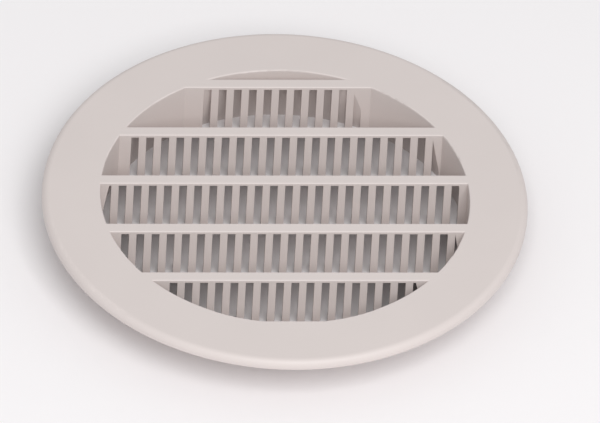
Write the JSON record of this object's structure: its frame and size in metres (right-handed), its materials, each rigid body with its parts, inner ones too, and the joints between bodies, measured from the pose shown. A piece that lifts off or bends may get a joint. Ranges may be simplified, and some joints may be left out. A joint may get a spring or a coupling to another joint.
{
  "type": "ventilation grille",
  "caption": "Round louvred ventilation grille with a flat flange, a short collar for a 100 mm duct or hole, straight slats and slotted risers that keep insects out.",
  "frame": {"origin": "on the collar's axis, in the plane where the flange's rim meets the wall", "axes": "+Z out of the face along the duct's axis, +Y towards the side that the rain blades climb to, up on a wall, +X along the slats"},
  "size_m": [0.125, 0.125, 0.0156],
  "materials": {
    "moulded_plastic": "fine satin, as moulded"
  },
  "bodies": {
    "root": {"grille": "moulded_plastic"}
  },
  "joints": []
}
